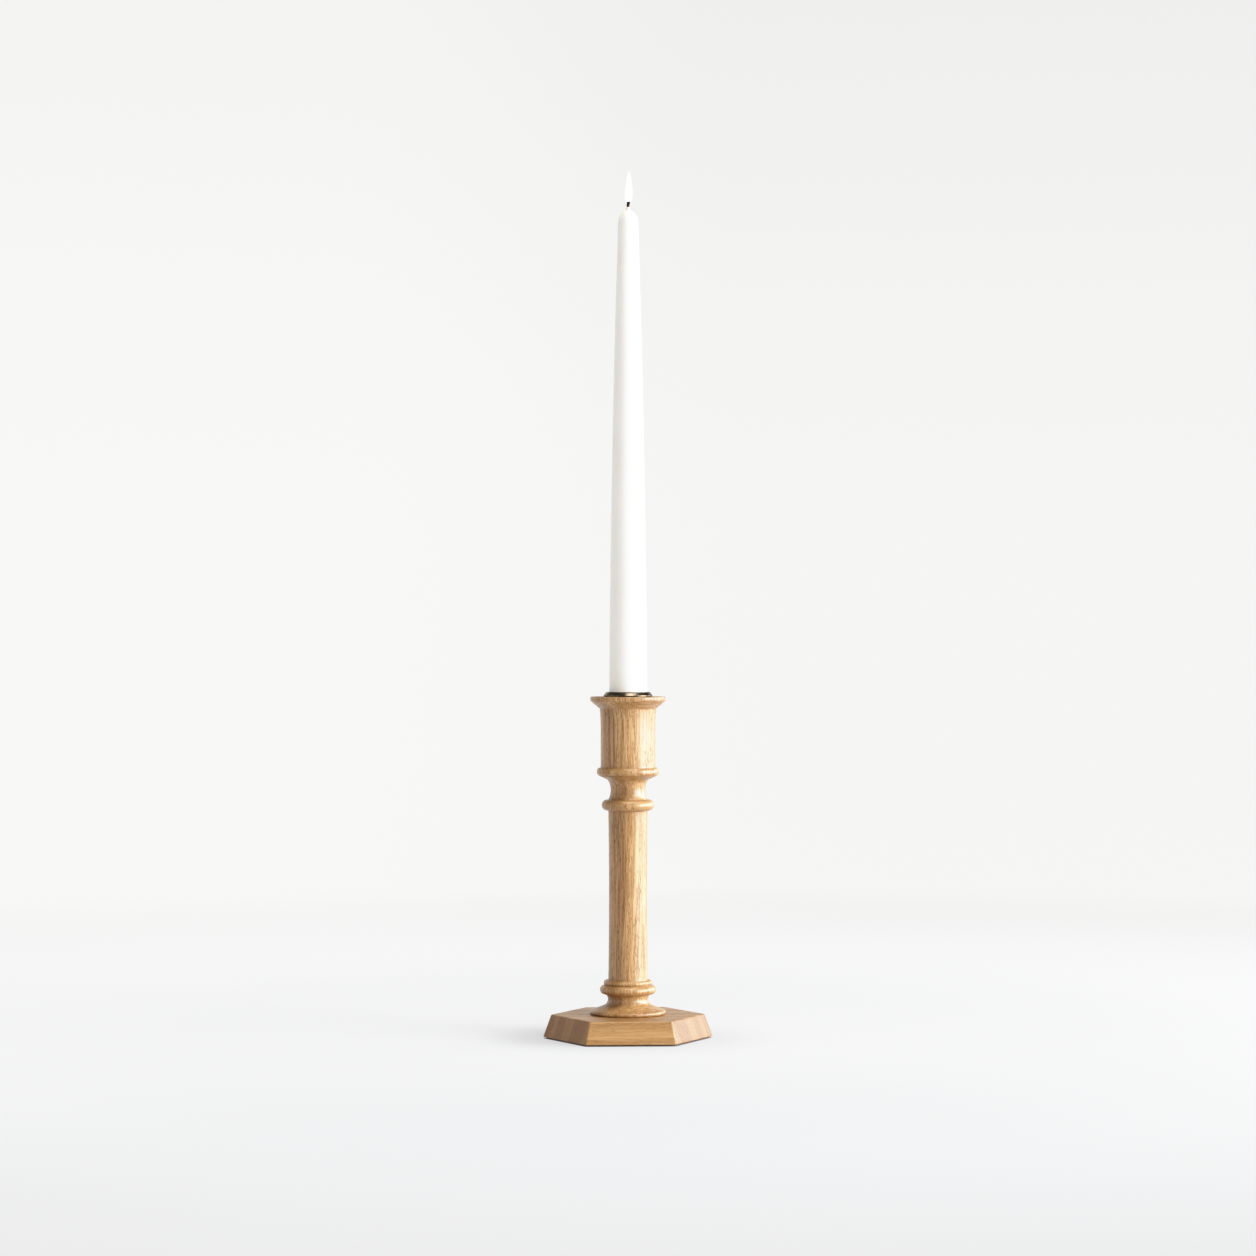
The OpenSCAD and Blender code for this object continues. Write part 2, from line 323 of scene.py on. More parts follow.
class Shade:
    """A short way to write a node material."""

    def __init__(self, name):
        self.material = bpy.data.materials.new(name)
        self.material.use_nodes = True
        self.tree = self.material.node_tree
        self.tree.nodes.clear()
        self.out = self.tree.nodes.new("ShaderNodeOutputMaterial")

    def add(self, kind, inputs=(), **settings):
        """A node with its settings and inputs; an input is a value or another node's output."""
        node = self.tree.nodes.new(kind)
        for key, value in settings.items():
            setattr(node, key, value)
        for key, value in dict(inputs).items():
            if isinstance(value, bpy.types.NodeSocket):
                self.tree.links.new(value, node.inputs[key])
            else:
                node.inputs[key].default_value = value
        return node

    def calc(self, operation, *values, clamp=False):
        """One step of arithmetic."""
        return self.add("ShaderNodeMath", enumerate(values), operation=operation, use_clamp=clamp).outputs[0]

    def vector(self, operation, *values):
        """One step of vector arithmetic."""
        return self.add("ShaderNodeVectorMath", enumerate(values), operation=operation).outputs[0]

    def point(self, x, y, z):
        """A vector from three numbers."""
        return self.add("ShaderNodeCombineXYZ", enumerate((x, y, z))).outputs[0]

    def split(self, vector):
        """The three numbers of a vector."""
        return self.add("ShaderNodeSeparateXYZ", {0: vector}).outputs[:3]

    def fade(self, value, low, high, to_low=0.0, to_high=1.0):
        """A smooth step of value between low and high."""
        inputs = {0: value, 1: low, 2: high, 3: to_low, 4: to_high}
        return self.add("ShaderNodeMapRange", inputs, interpolation_type="SMOOTHSTEP").outputs[0]

    def mix(self, share, a, b, blend="MIX"):
        """Two colours mixed."""
        node = self.add("ShaderNodeMix", data_type="RGBA", blend_type=blend)
        for index, value in ((0, share), (6, a), (7, b)):
            if isinstance(value, bpy.types.NodeSocket):
                self.tree.links.new(value, node.inputs[index])
            else:
                node.inputs[index].default_value = value if index == 0 else (*value, 1)
        return node.outputs[2]

    def ramp(self, value, *stops):
        """A number looked up along (place, level) stops."""
        node = self.add("ShaderNodeValToRGB", {0: value})
        elements = node.color_ramp.elements
        while len(elements) < len(stops):
            elements.new(0.5)
        for element, (place, level) in zip(elements, stops):
            element.position = place
            element.color = (level, level, level, 1)
        return node.outputs[0]

    def noise(self, vector, scale=1.0, detail=2.0, rough=0.5, out="Fac"):
        """Noise; one unit of vector is one unit of noise at scale 1."""
        inputs = {"Vector": vector, "Scale": scale, "Detail": detail, "Roughness": rough}
        return self.add("ShaderNodeTexNoise", inputs).outputs[out]

    def bump(self, height, depth, strength=1.0, normal=None):
        """A normal bent by a height from 0 to 1 that stands for depth metres."""
        inputs = {"Height": height, "Distance": depth, "Strength": strength}
        if normal:
            inputs["Normal"] = normal
        return self.add("ShaderNodeBump", inputs).outputs[0]

    def millimetres(self):
        """The object's own coordinates in millimetres."""
        place = self.add("ShaderNodeTexCoord").outputs["Object"]
        return self.add("ShaderNodeVectorMath", {0: place, "Scale": 1 / MM}, operation="SCALE").outputs[0]

    def cells(self, vector):
        """The outputs of a pattern of cells; one unit of vector is one cell."""
        return self.add("ShaderNodeTexVoronoi", {"Vector": vector, "Scale": 1.0}, feature="F1").outputs

    def crease(self):
        """How deep in a crease the point lies, which the mesh carries as an attribute."""
        return self.add("ShaderNodeAttribute", attribute_name="crease").outputs["Fac"]

    def surface(self, **inputs):
        """Ends the material in a Principled shader."""
        named = {key.replace("_", " "): value for key, value in inputs.items()}
        shader = self.add("ShaderNodeBsdfPrincipled", named)
        self.tree.links.new(shader.outputs[0], self.out.inputs["Surface"])
        return self.material


# ---------------------------------------------------------------- oak

OAK_LIGHT = (0.61, 0.378, 0.180)
OAK_MID = (0.40, 0.213, 0.066)
OAK_DARK = (0.23, 0.102, 0.010)
OAK_PORE = (0.14, 0.050, 0.002)
OAK_END = (0.27, 0.128, 0.042)
OAK_AGED = (0.80, 0.74, 0.66)

# In a board, along is 0 where the grain runs along X and 2 where it runs along Z. pith is where the
# tree's pith runs and ring_width a year's growth, in mm. end_share, pore_share and hair_share say how
# strongly end grain, pores and dark fibres show, run stretches the pores, and coat is the finish.
PLINTH_BOARD = dict(
    along=0, pith=(118.0, 9.0), ring_width=2.9, seed=11.0, turned_marks=False, end_share=0.75, coat=0.4,
    pore_share=0.30, run=1.6, hair_share=0.3, tint=(0.83, 0.80, 0.72))
COLUMN_BOARD = dict(
    along=2, pith=(-38.8, 55.5), ring_width=2.3, seed=37.0, turned_marks=True, end_share=0.0, coat=0.85,
    pore_share=0.62, run=1.0, hair_share=0.7, tint=(1.0, 1.0, 1.0))

# Waves in the grain: width and length in mm, and how far they move it
SLOW_WAVE = (26, 95, 6.0)
QUICK_WAVE = (4, 30, 0.8)
# How the years' widths differ
YEAR_RATE, YEAR_SPREAD = 0.45, 1.6
# How crowded with pores the wood is through a year, most of all in spring
EARLY_WOOD = ((0.0, 0.75), (0.10, 1.0), (0.34, 0.55), (0.55, 0.12), (0.93, 0.0), (1.0, 0.6))
# Pores: width and length in mm, their reach in a cell, and their share of the cells
PORE_KINDS = ((0.30, 3.0, 0.31, 0.40), (0.48, 3.8, 0.31, 0.48))
# Streaks of fibre: width and length in mm, and detail
HAIR = (0.52, 34, 1)
GRAIN = (1.1, 48, 2)
BAND = (4.5, 110, 1)
# Groups of years that grew darker
ERA_RATE, ERA_PLACE, ERA_PALE, ERA_DARK = 0.30, 11.7, 0.53, 0.45
# Rays: their length and spacing, how many there are, and how far one reaches in its cell
RAY_LENGTH, RAY_COUNT, RAY_SHARE, RAY_EDGE, RAY_CORE = 9, 95, 0.22, 0.34, 0.18
# How squarely a face must cut the grain to look like end grain
END_FROM, END_TO = 0.45, 0.85


def swayed(s, a, b, g, seed):
    """Places across the grain, moved by the waves that run along it."""
    a0 = s.calc("ADD", a, seed)
    out_a, out_b = a, b
    for width, length, push in (SLOW_WAVE, QUICK_WAVE):
        where = s.point(s.calc("DIVIDE", a0, width), s.calc("DIVIDE", b, width), s.calc("DIVIDE", g, length))
        wave = s.vector("SUBTRACT", s.noise(where, detail=2, out="Color"), (0.5, 0.5, 0.5))
        wave_a, wave_b, _ = s.split(wave)
        out_a = s.calc("MULTIPLY_ADD", wave_a, push, out_a)
        out_b = s.calc("MULTIPLY_ADD", wave_b, push, out_b)
    return out_a, out_b


def grown(s, a, b, pith, ring_width, seed):
    """Distance from the pith, bearing round it, and age in years."""
    da, db = s.calc("SUBTRACT", a, pith[0]), s.calc("SUBTRACT", b, pith[1])
    radius = s.calc("SQRT", s.calc("ADD", s.calc("MULTIPLY", da, da), s.calc("MULTIPLY", db, db)))
    years = s.calc("DIVIDE", radius, ring_width)
    uneven = s.noise(s.point(s.calc("MULTIPLY", years, YEAR_RATE), seed, 0.0), detail=1)
    return radius, s.calc("ARCTAN2", db, da), s.calc("MULTIPLY_ADD", uneven, YEAR_SPREAD, years)


def pore_cells(s, a, b, g, seed, run, early):
    """Pores: long thin cells, crowded in the early wood."""
    pores = None
    for width, length, reach, spread in PORE_KINDS:
        cell = s.point(s.calc("DIVIDE", s.calc("ADD", a, seed * width), width),
                       s.calc("DIVIDE", b, width), s.calc("DIVIDE", g, run * length))
        spot = s.cells(cell)
        crowd = s.calc("MULTIPLY_ADD", early, 1.3 * spread, 0.22 * spread)
        there = s.calc("LESS_THAN", s.split(spot["Color"])[0], crowd)
        hole = s.calc("MULTIPLY", s.fade(spot["Distance"], reach + 0.12, reach - 0.06), there)
        pores = hole if pores is None else s.calc("MAXIMUM", pores, hole)
    return pores


def ray_cells(s, radius, bearing, g):
    """Rays: short ribbons that run out from the pith."""
    spot = s.cells(s.point(s.calc("DIVIDE", radius, RAY_LENGTH), s.calc("MULTIPLY", bearing, RAY_COUNT),
                           s.calc("DIVIDE", g, RAY_LENGTH)))
    there = s.calc("LESS_THAN", s.split(spot["Color"])[1], RAY_SHARE)
    return s.calc("MULTIPLY", s.fade(spot["Distance"], RAY_EDGE, RAY_CORE), there)


def oak(name, along, pith, ring_width, seed, turned_marks, end_share, coat, pore_share, run, hair_share,
        tint):
    """Ring-porous oak. Rings, pores, rays and streaks are solids in the board, so cut faces, beads and
    coves show the figure that such a cut would."""
    s = Shade(name)
    x, y, z = s.split(s.millimetres())
    a, b, g = (y, z, x) if along == 0 else (x, y, z)
    a, b = swayed(s, a, b, g, seed)
    radius, bearing, years = grown(s, a, b, pith, ring_width, seed)
    early = s.ramp(s.calc("FRACT", years), *EARLY_WOOD)
    pores = pore_cells(s, a, b, g, seed, run, early)
    ray = ray_cells(s, radius, bearing, g)

    def streak(width, length, detail):
        where = s.point(s.calc("DIVIDE", s.calc("ADD", a, seed), width), s.calc("DIVIDE", b, width),
                        s.calc("DIVIDE", g, length))
        return s.noise(where, detail=detail, rough=0.6)

    hair, grain, band = streak(*HAIR), streak(*GRAIN), streak(*BAND)
    era = s.noise(s.point(s.calc("MULTIPLY", years, ERA_RATE), seed, ERA_PLACE), detail=1)

    tone = s.calc("ADD", s.calc("MULTIPLY", grain, 0.55), s.calc("MULTIPLY", band, 0.45))
    soft = 0.5 - 0.5 * hair_share
    colour = s.mix(s.fade(tone, 0.40, 0.60, soft, 1.0 - soft), OAK_MID, OAK_LIGHT)
    colour = s.mix(s.calc("MULTIPLY", early, 0.30), colour, OAK_DARK)
    colour = s.mix(s.fade(hair, 0.56, 0.38, 0.0, hair_share), colour, OAK_DARK)
    colour = s.mix(s.calc("MULTIPLY", ray, 0.22), colour, OAK_LIGHT)

    # end grain drinks more finish, so it is darker and greyer
    normal = s.add("ShaderNodeNewGeometry").outputs["True Normal"]
    ending = s.fade(s.calc("ABSOLUTE", s.split(normal)[along]), END_FROM, END_TO, 0.0, end_share)
    colour = s.mix(ending, colour, OAK_END)
    colour = s.mix(s.fade(era, ERA_PALE, ERA_DARK), colour, OAK_AGED, "MULTIPLY")
    colour = s.mix(s.calc("MULTIPLY", pores, pore_share), colour, OAK_PORE)
    colour = s.mix(1.0, colour, tint, "MULTIPLY")
    # painted shade darkens the creases, where old finish also gathers
    colour = s.mix(s.calc("MULTIPLY", s.crease(), 0.3), colour, OAK_DARK)

    rough = s.calc("MULTIPLY_ADD", pores, 0.35, s.calc("MULTIPLY_ADD", grain, 0.16, 0.36))
    rough = s.calc("MULTIPLY_ADD", ending, 0.22, rough)
    height = s.calc("SUBTRACT", s.calc("MULTIPLY", hair, 0.22), pores)
    bent = s.bump(height, 0.06 * MM, 0.7)
    if turned_marks:
        ridge = s.noise(s.point(0.0, 0.0, s.calc("DIVIDE", g, 0.42)), detail=2, rough=0.7)
        bent = s.bump(ridge, 0.05 * MM, 0.35, bent)
    return s.surface(Base_Color=colour, Roughness=rough, Normal=bent, Specular_IOR_Level=0.5,
                     Coat_Weight=s.calc("MULTIPLY_ADD", pores, -0.9 * coat, coat), Coat_Roughness=0.40)


# ---------------------------------------------------------------- the other materials

BRONZE_DARK = (0.085, 0.064, 0.040)
BRONZE_WORN = (0.30, 0.24, 0.165)
# The painted shade in the cup's creases
BRONZE_CREASE_SHADE = (0.018, 0.013, 0.010)
BRASS_INSIDE = (0.58, 0.43, 0.22)
# The dull and the bright colour of each screw's metal
ZINC = ((0.42, 0.42, 0.41), (0.66, 0.66, 0.64))
BRASS = ((0.55, 0.38, 0.14), (0.78, 0.58, 0.26))
# Wax, its painted colour and glow where the flame shines into it, and how far down that reaches, in mm
WAX_DULL = (0.838, 0.820, 0.776)
WAX_CLEAR = (0.858, 0.842, 0.802)
WAX_LIT = (0.96, 0.90, 0.66)
WAX_GLOW = (1.0, 0.80, 0.46, 1.0)
LIT_FROM, LIT_FULL = 7.0, 0.5
COTTON_BARE = (0.72, 0.68, 0.58)
COTTON_SOAKED = (0.50, 0.25, 0.10)
COTTON_CHARRED = (0.006, 0.004, 0.004)
EMBER = (1.0, 0.30, 0.08, 1.0)
# How far below the wax's top the cotton darkens, and how far above it the cotton is charred, in mm
SOAKED_DEPTH = 2.0
CHAR_FROM, CHAR_FULL = 0.05, 0.75
FELT_DARK = (0.020, 0.017, 0.015)
FELT_PALE = (0.075, 0.066, 0.058)
FLAME_COLOUR = (1.0, 0.985, 0.95, 1.0)
FLAME_BRIGHT = 1.7


def bronze(name):
    """Brass under a dark bronze patina: cloudy outside, worn back to brass on the inner wall, with painted
    shade in its creases.
    """
    s = Shade(name)
    place = s.millimetres()
    cloud = s.noise(place, 0.22, 4, 0.55)
    fine = s.noise(place, 3.0, 3, 0.6)
    worn = s.fade(s.calc("MULTIPLY_ADD", cloud, 0.8, s.calc("MULTIPLY", fine, 0.2)), 0.36, 0.72)
    colour = s.mix(worn, BRONZE_DARK, BRONZE_WORN)
    # painted shade darkens the cup's creases to near black
    colour = s.mix(s.calc("MULTIPLY", s.crease(), 0.8), colour, BRONZE_CREASE_SHADE)
    x, y, z = s.split(place)
    normal = s.add("ShaderNodeNewGeometry").outputs["Normal"]
    inward = s.vector("NORMALIZE", s.point(s.calc("MULTIPLY", x, -1.0), s.calc("MULTIPLY", y, -1.0), 0.0))
    facing = s.add("ShaderNodeVectorMath", {0: inward, 1: normal}, operation="DOT_PRODUCT").outputs["Value"]
    colour = s.mix(s.fade(facing, 0.2, 0.9, 0.0, 0.75), colour, BRASS_INSIDE)
    rough = s.calc("MULTIPLY_ADD", fine, 0.14, 0.20)
    spun = s.noise(s.point(0.0, 0.0, s.calc("MULTIPLY", z, 6.0)), detail=2)
    bent = s.bump(spun, 0.02 * MM, 0.3, s.bump(fine, 0.02 * MM, 0.25))
    return s.surface(Base_Color=colour, Metallic=1.0, Roughness=rough, Normal=bent)


def plain_metal(name, base, bright):
    """Drawn screw metal with fine turning lines and dull patches."""
    s = Shade(name)
    place = s.millimetres()
    patch = s.noise(place, 0.8, 4, 0.6)
    fine = s.noise(place, 8.0, 2, 0.6)
    colour = s.mix(s.fade(patch, 0.35, 0.65), base, bright)
    rough = s.calc("MULTIPLY_ADD", patch, 0.25, 0.22)
    return s.surface(Base_Color=colour, Metallic=1.0, Roughness=rough, Normal=s.bump(fine, 0.01 * MM, 0.3))


def wax(name, top):
    """White candle wax: light travels in it, and the flame's light is painted on its tip as a warm colour
    and glow.
    """
    s = Shade(name)
    place = s.millimetres()
    _, _, z = s.split(place)
    cloud = s.noise(place, 0.05, 2, 0.5)
    fine = s.noise(place, 0.9, 3, 0.55)
    colour = s.mix(s.fade(cloud, 0.3, 0.7), WAX_DULL, WAX_CLEAR)
    # painted light: the flame's warm glow on the wax near its top, as colour and as emission
    glow = s.fade(z, top / MM - LIT_FROM, top / MM - LIT_FULL)
    colour = s.mix(s.calc("MULTIPLY", glow, 0.6), colour, WAX_LIT)
    rough = s.calc("MULTIPLY_ADD", fine, 0.12, 0.30)
    return s.surface(Base_Color=colour, Roughness=rough, Normal=s.bump(fine, 0.05 * MM, 0.25),
                     Subsurface_Weight=0.85, Subsurface_Radius=(1.0, 0.72, 0.5), Subsurface_Scale=5 * MM,
                     Emission_Color=WAX_GLOW,
                     Emission_Strength=s.calc("MULTIPLY", s.calc("POWER", glow, 2.0), 0.10))


def cotton(name, bare):
    """Braided cotton: pale inside the candle, charred black above the wax, with an ember at its foot."""
    s = Shade(name)
    place = s.millimetres()
    _, _, z = s.split(place)
    fine = s.noise(place, 6.0, 3, 0.7)
    soaked = s.fade(z, bare / MM - SOAKED_DEPTH, bare / MM)
    uneven = s.calc("MULTIPLY_ADD", fine, 0.5, z)
    charred = s.fade(uneven, bare / MM + CHAR_FROM, bare / MM + CHAR_FULL)
    colour = s.mix(soaked, COTTON_BARE, COTTON_SOAKED)
    colour = s.mix(charred, colour, COTTON_CHARRED)
    ember = s.calc("MULTIPLY", soaked, s.calc("SUBTRACT", 1.0, charred))
    return s.surface(Base_Color=colour, Roughness=0.92, Normal=s.bump(fine, 0.08 * MM, 0.8),
                     Emission_Color=EMBER, Emission_Strength=s.calc("MULTIPLY", ember, 0.6))


def felt(name):
    """Pressed felt."""
    s = Shade(name)
    place = s.millimetres()
    tangle = s.noise(place, 4.5, 5, 0.75)
    fluff = s.noise(place, 1.2, 3, 0.6)
    colour = s.mix(s.fade(tangle, 0.3, 0.7), FELT_DARK, FELT_PALE)
    return s.surface(Base_Color=colour, Roughness=0.95, Sheen_Weight=0.35, Sheen_Roughness=0.5,
                     Normal=s.bump(s.calc("ADD", tangle, fluff), 0.12 * MM, 0.8))


def flame_light(name):
    """A flame: bright in the middle and clear at its edge."""
    s = Shade(name)
    facing = s.add("ShaderNodeLayerWeight", {"Blend": 0.5}).outputs["Facing"]
    glow = s.add("ShaderNodeEmission", {"Color": FLAME_COLOUR, "Strength": FLAME_BRIGHT})
    clear = s.add("ShaderNodeBsdfTransparent")
    edge = s.fade(facing, 0.55, 1.0)
    both = s.add("ShaderNodeMixShader", {0: edge, 1: glow.outputs[0], 2: clear.outputs[0]})
    s.tree.links.new(both.outputs[0], s.out.inputs["Surface"])
    return s.material


# ---------------------------------------------------------------- the wooden pieces


# The screw's clearance hole, as a share of its head's radius
HOLE_SHARE = 0.56


def plan_corners(node, z):
    """The sharp corners of a six-sided node's outline at a height, in order round it."""
    level = {(round(v.co.x, 7), round(v.co.y, 7)) for v in frame["nodes"][node].data.vertices
             if abs(v.co.z - z) < WELD * 50}
    reach = max(math.hypot(x, y) for x, y in level)
    ring = sorted((q for q in level if math.hypot(*q) > 0.7 * reach), key=lambda q: math.atan2(q[1], q[0]))
    ring = [Vector((x, y, z)) for x, y in ring]
    sides = [(a, ring[(i + 1) % len(ring)]) for i, a in enumerate(ring)]
    longest = sorted(range(len(sides)), key=lambda i: (sides[i][1] - sides[i][0]).length)[-6:]
    sides = [sides[i] for i in sorted(longest)]
    return [intersect_line_line(*sides[i - 1], *side)[0] for i, side in enumerate(sides)]


def plinth_levels():
    """The heights of the rings of corners that the CAD plinth has, from the lowest."""
    tip = span("base")[1].x
    return sorted({round(v.co.z, 7) for v in frame["nodes"]["base"].data.vertices if v.co.x > 0.8 * tip})


def make_plinth(material):
    """Hexagonal plinth with round-eased edges, its mortise and its countersunk hole."""
    low, high = span("base")
    levels = plinth_levels()
    wide, narrow = (plan_corners("base", z) for z in (levels[1], levels[-2]))
    rings, verts = [], []
    for z in (low.z, high.z):
        rings.append([len(verts) + i for i in range(6)])
        share = (z - levels[1]) / (levels[-2] - levels[1])
        verts += [a + (b - a) * share for a, b in zip(wide, narrow)]
    obj = new_object("oak_plinth", verts, skin(rings) + [rings[0][::-1], rings[1]])
    bm = bmesh.new()
    bm.from_mesh(obj.data)
    bmesh.ops.bevel(bm, geom=bm.edges[:], offset=PLINTH_EASE, segments=5, profile=0.5, affect="EDGES")
    grow_x = high.x / max(v.co.x for v in bm.verts)
    grow_y = high.y / max(v.co.y for v in bm.verts)
    for v in bm.verts:
        v.co.x *= grow_x
        v.co.y *= grow_y
    bm.to_mesh(obj.data)
    bm.free()

    tenon = [p for p in section("column")[0] if p[1] < high.z - WELD]
    tenon_r, tenon_z = max(p[0] for p in tenon), min(p[1] for p in tenon)
    above = high.z + MM
    mortise, _ = revolve("mortise", [(0, tenon_z), (tenon_r, tenon_z), (tenon_r, above), (0, above)])
    head_low, head_high = span("base_screw")
    head_r = head_high.x
    hole_r = HOLE_SHARE * head_r
    sink = low.z - MM
    hole, _ = revolve("hole", [
        (0, sink), (head_r + head_low.z - sink, sink), (hole_r, head_low.z + head_r - hole_r),
        (hole_r, high.z), (0, high.z)])
    carve(obj, mortise, hole)
    settle_normals(obj)
    finish_piece(obj, "holder", material, "oak_plinth", "base")


def make_column(material):
    """The turned column, from its tenon to the flange, with every corner eased."""
    obj = turned("turned_column", "column", COLUMN_EASE, 2.5 * MM, 180)
    finish_piece(obj, "holder", material, "oak_column", "column")


# ---------------------------------------------------------------- metal, felt, wax and wick

# The thread's core, crest and half pitch, and the arms of the recess, as shares of the head's radius
CORE_SHARE = 0.36
CREST_SHARE = 0.51
PITCH_SHARE = 0.34
ARM_SHARE = 0.56
ARM_HALF_SHARE = 0.13
# The tapered point's length in turns, a ridge's half width in turns, and the rows of points in a turn
POINT_TURNS = 1.4
RIDGE_TURNS = 0.26
TURN_ROWS = 14
SCREW_AROUND = 48


def make_screw(name, node, material, slot, head_up):
    """A countersunk wood screw with a helical thread and a cross recess."""
    low, high = span(node)
    head_r, length = high.x, high.z - low.z
    core, crest, pitch = head_r * CORE_SHARE, head_r * CREST_SHARE, 2 * head_r * PITCH_SHARE
    neck = head_r - crest
    start, point = neck + pitch, length - POINT_TURNS * pitch

    def radius(depth, angle):
        """Shank radius at a depth below the head's face."""
        if depth < start:
            return crest
        shaft = core if depth < point else core * max(0.06, (length - depth) / (length - point))
        phase = (depth / pitch - angle / (2 * math.pi)) % 1.0
        ridge = max(0.0, 1 - abs(phase - 0.5) / RIDGE_TURNS)
        full = min(1.0, (depth - start) / pitch) * min(1.0, max(0.0, (length - depth) / (1.2 * pitch)))
        return shaft + (crest - core) * min(1.0, 1.15 * ridge) * full

    outline = refine([(0, 0), (head_r, 0), (crest, neck), (crest, start)], False, 0.12 * MM, MM)
    verts, rings = [(0, 0, 0)], [[0]]
    steps = math.ceil((length - start) / pitch * TURN_ROWS)
    rows = [(p.x, p.y) for p in outline[1:]]
    rows += [(None, start + (length - start) * i / steps) for i in range(1, steps)]
    for r, depth in rows:
        ring = []
        for i in range(SCREW_AROUND):
            angle = 2 * math.pi * i / SCREW_AROUND
            here = radius(depth, angle) if r is None else r
            ring.append(len(verts))
            verts.append((here * math.cos(angle), here * math.sin(angle), depth))
        rings.append(ring)
    rings.append([len(verts)])
    verts.append((0, 0, length))

    obj = new_object(name, verts, skin(rings))
    arm, half = ARM_SHARE * head_r, ARM_HALF_SHARE * head_r
    cross = [(arm, half), (half, half), (half, arm), (-half, arm), (-half, half), (-arm, half),
             (-arm, -half), (-half, -half), (-half, -arm), (half, -arm), (half, -half), (arm, -half)]
    layers = ((1.1, -0.3 * MM), (1.0, 0.0), (0.45, 0.42 * head_r))
    cut_verts = [(x * k, y * k, z) for k, z in layers for x, y in cross]
    cut_rings = [list(range(12 * i, 12 * i + 12)) for i in range(3)]
    carve(obj, new_object("recess", cut_verts, skin(cut_rings) + [cut_rings[0][::-1], cut_rings[2]], False))
    for v in obj.data.vertices:
        v.co = (v.co.x, -v.co.y, high.z - v.co.z) if head_up else (v.co.x, v.co.y, low.z + v.co.z)
    settle_normals(obj)
    finish_piece(obj, "holder", material, slot, node)


def make_cup(material):
    """The spun brass cup with its rolled lip and dimpled floor."""
    obj = turned("brass_cup", "candle_cup", CUP_EASE, 1.5 * MM, 160)
    finish_piece(obj, "holder", material, "dark_brass", "candle_cup")


PAD_AROUND = 72
# How far in the rim of a felt disc is ragged, as a share of its radius, and how deeply
RIM_SHARE = 0.2
RIM_DEPTH = 0.14 * MM


def make_pads(material):
    """Felt discs, a little uneven round the rim, one under each corner."""
    for node in sorted(n for n in frame["nodes"] if n.startswith("felt_pad_")):
        low, high = span(node)
        middle = (low + high) / 2
        size, thick = (high.x - low.x) / 2, high.z - low.z
        corners = [(0, low.z), (size, low.z), (size, high.z), (0, high.z)]
        outline = refine(corners, False, 0.22 * thick, 0.4 * MM)
        offset = Vector((middle.x, middle.y, 0)) * 50

        def frayed(r, z, angle, offset=offset, size=size):
            rough = noise.noise(Vector((math.cos(angle) * 9, math.sin(angle) * 9, z * 900)) + offset)
            rim = max(0.0, r / size - 1 + RIM_SHARE) / RIM_SHARE
            return r - rim * (0.5 + 0.5 * rough) * RIM_DEPTH

        obj, _ = revolve("felt_disc_" + node.rsplit("_", 1)[1], outline, around=PAD_AROUND, shape=frayed)
        for v in obj.data.vertices:
            v.co.x += middle.x
            v.co.y += middle.y
        finish_piece(obj, "holder", material, "felt", node)


# The butt and the hole for the wick stay true; above the butt the unevenness grows to its full depth
TRUE_BUTT = 24 * MM
TRUE_HOLE = 1.6 * MM
DIP_FULL = 60 * MM
DIP_DEPTH = 0.10 * MM


def make_wax(material):
    """The taper, with the slight unevenness of dipped wax."""
    low, high = span("candle_wax")

    def dipped(r, z, angle):
        if z < low.z + TRUE_BUTT or r < TRUE_HOLE:
            return r
        wave = noise.noise(Vector((math.cos(angle) * 1.3, math.sin(angle) * 1.3, z * 28)))
        return r - DIP_DEPTH * (0.5 + 0.5 * wave) * min(1.0, (z - low.z) / DIP_FULL)

    obj = turned("taper_wax", "candle_wax", WAX_EASE, 4 * MM, 128, dipped)
    finish_piece(obj, "candle", material, "wax", "candle_wax")


# A strand's radius and its distance from the middle, as shares of the wick's radius
STRAND_SHARE = 0.52
ORBIT_SHARE = 0.46
STRANDS = 3
STRAND_SIDES = 10
STRAND_PITCH = 3.2 * MM
STRAND_STEP = 0.35 * MM
# What the end in the air does: it leans, its strands spread and then draw in, and their skins roughen
WICK_LEAN = 0.55 * MM
WICK_SPREAD = 0.30
WICK_DRAW = 1.8
WICK_FRAY = 0.28


def make_wick(material):
    """Three twisted strands; the end that stands out of the wax leans over and frays."""
    low, high = span("candle_wick")
    bare = span("candle_wax")[1].z
    full = high.x
    strand_r, orbit = STRAND_SHARE * full, ORBIT_SHARE * full
    rows = math.ceil((high.z - low.z) / STRAND_STEP)
    verts, faces = [], []
    for strand in range(STRANDS):
        rings = []
        for n in range(rows + 1):
            z = low.z + (high.z - low.z) * n / rows
            out = max(0.0, (z - bare) / (high.z - bare))
            lean = WICK_LEAN * out * out
            turn = 2 * math.pi * (z / STRAND_PITCH + strand / STRANDS)
            swell = 1.0 + WICK_SPREAD * out - WICK_DRAW * max(0.0, out - 0.75)
            cx = lean + orbit * swell * math.cos(turn)
            cy = orbit * swell * math.sin(turn)
            ring = []
            for i in range(STRAND_SIDES):
                angle = 2 * math.pi * i / STRAND_SIDES
                rough = 1 + WICK_FRAY * out * noise.noise(Vector((angle * 2, strand * 7, z * 2500)))
                here = strand_r * swell * rough
                ring.append(len(verts))
                verts.append((cx + here * math.cos(angle), cy + here * math.sin(angle), z))
            rings.append(ring)
        faces += skin(rings) + [rings[0][::-1], rings[-1]]
    obj = new_object("braided_wick", verts, faces)
    finish_piece(obj, "candle", material, "wick", "candle_wick")


# ---------------------------------------------------------------- flame, studio and camera


FLAME_FOOT = -0.7 * MM
FLAME_TALL = 18.1 * MM
FLAME_WIDE = 2.408 * MM
FLAME_ROWS = 40
# How far the flame stands to the right of the wick's foot, and how much further at its tip
FLAME_ASIDE = 0.35 * MM
FLAME_LEAN = 0.25 * MM
